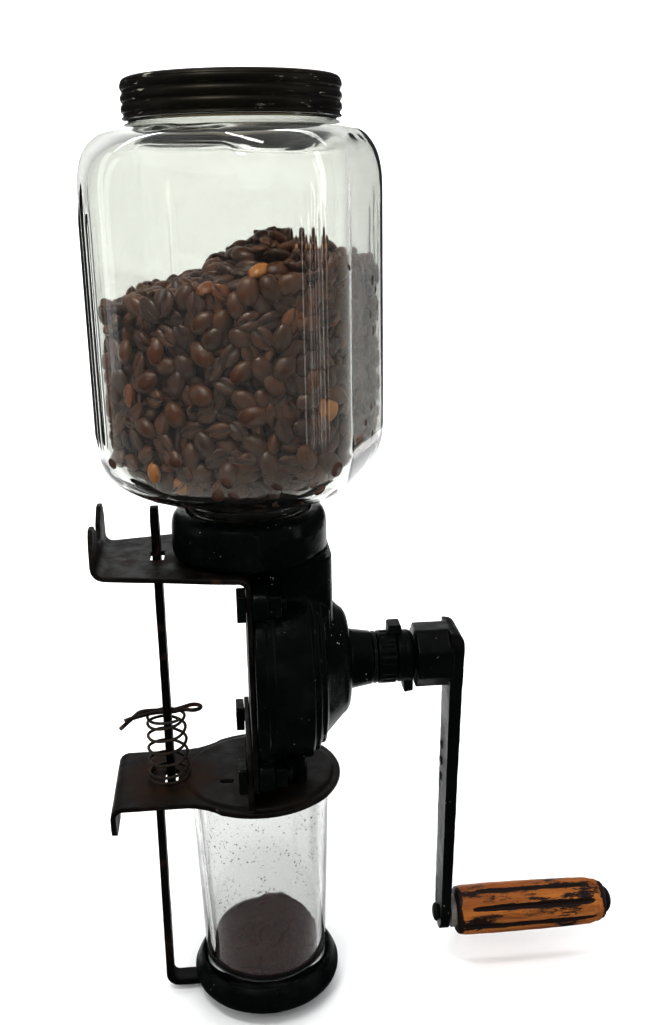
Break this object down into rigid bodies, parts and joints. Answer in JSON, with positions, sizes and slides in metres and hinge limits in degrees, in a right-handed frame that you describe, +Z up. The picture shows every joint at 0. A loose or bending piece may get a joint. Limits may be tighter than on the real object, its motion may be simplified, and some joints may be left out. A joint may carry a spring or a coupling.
{
  "type": "wall-mounted hand coffee mill",
  "caption": "Wall coffee mill: glass bean hopper over a cast-iron burr mill with a side crank, on two sheet brackets, and a sprung strap holding a tapered glass cup",
  "frame": {"origin": "on the wall face of the upper bracket's ear, centred, 2.6 mm below its fixing notch", "axes": "+Z up; +X away from the wall, along the crank spindle; +Y to the back, so that the crank side faces right when seen along +Y"},
  "size_m": [0.2506, 0.1272, 0.436],
  "materials": {
    "black_iron": "glossy black japan over cast iron, chipped at the edges",
    "nut_iron": "black japan worn thin on the faces",
    "crank_iron": "black japan over cast iron with small casting pips",
    "bracket_steel": "black paint worn to grey-brown steel with patches of rust",
    "strap_steel": "dark oxidised flat steel, browner near the top",
    "tray_iron": "black enamel, dusty inside the rim",
    "rusty_wire": "rusted dark brown wire",
    "bare_steel": "machined steel dulled by oil and coffee",
    "bronze_bush": "dull bronze",
    "lid_metal": "aged bronze-brown tinned lid with bright scratches",
    "lid_card": "waxed card",
    "clear_glass": "clear pressed glass, very slightly green, lightly dusty",
    "roasted_beans": "roasted coffee beans, matte to satin brown",
    "coffee_grounds": "dark reddish-brown ground coffee",
    "worn_wood": "orange-tan wood with black paint left in the grooves"
  },
  "bodies": {
    "mill": {"upper_bracket": "bracket_steel", "lower_bracket": "bracket_steel", "mill_housing": "black_iron", "fixed_burr": "bare_steel", "burr_screw_front": "bare_steel", "burr_screw_back": "bare_steel", "bearing_sleeve": "bronze_bush", "holder_spring": "rusty_wire", "bolt_upper_front": "nut_iron", "bolt_upper_rear": "nut_iron", "bolt_lower_front": "nut_iron", "bolt_lower_rear": "nut_iron", "nut_upper_front": "nut_iron", "nut_upper_rear": "nut_iron", "nut_lower_front": "nut_iron", "nut_lower_rear": "nut_iron"},
    "jar": {"hopper_jar": "clear_glass", "coffee_beans": "roasted_beans"},
    "lid": {"jar_lid": "lid_metal", "lid_liner": "lid_card"},
    "holder": {"holder_strap": "strap_steel", "cup_tray": "tray_iron", "tray_rivet_inner": "bare_steel", "tray_rivet_outer": "bare_steel", "cotter_pin": "rusty_wire", "cup_glass": "clear_glass", "ground_coffee": "coffee_grounds"},
    "spindle": {"spindle": "bare_steel", "feed_worm": "bare_steel", "rotating_burr": "bare_steel", "thrust_washer": "bare_steel", "crank_arm": "crank_iron", "crank_set_screw": "bare_steel", "grip_washer": "bare_steel", "grip_pin": "crank_iron"},
    "adjuster": {"adjusting_nut": "nut_iron"},
    "locker": {"lock_nut": "nut_iron"},
    "grip": {"wooden_grip": "worn_wood"}
  },
  "joints": [
    {"name": "crank_spin", "type": "hinge", "parent": "mill", "child": "spindle", "pos_m": [0.131, 0, -0.0617], "axis": [1, 0, 0], "continuous": true},
    {"name": "grip_spin", "type": "hinge", "parent": "spindle", "child": "grip", "pos_m": [0.207, 0, -0.207], "axis": [1, 0, 0], "continuous": true},
    {"name": "adjuster_turn", "type": "hinge", "parent": "spindle", "child": "adjuster", "pos_m": [0.131, 0, -0.0617], "axis": [1, 0, 0], "range_deg": [-180, 180]},
    {"name": "lock_nut_turn", "type": "hinge", "parent": "spindle", "child": "locker", "pos_m": [0.131, 0, -0.0617], "axis": [1, 0, 0], "range_deg": [-180, 180]},
    {"name": "holder_drop", "type": "slide", "parent": "mill", "child": "holder", "axis": [0, 0, 1], "range_m": [-0.018, 0], "stiffness_N_per_m": 1000, "springref_m": 0.012, "deforming": ["holder_spring"]},
    {"name": "jar_lift", "type": "slide", "parent": "mill", "child": "jar", "axis": [0, 0, 1], "range_m": [0, 0.03]},
    {"name": "lid_lift", "type": "slide", "parent": "jar", "child": "lid", "axis": [0, 0, 1], "range_m": [0, 0.03]}
  ]
}
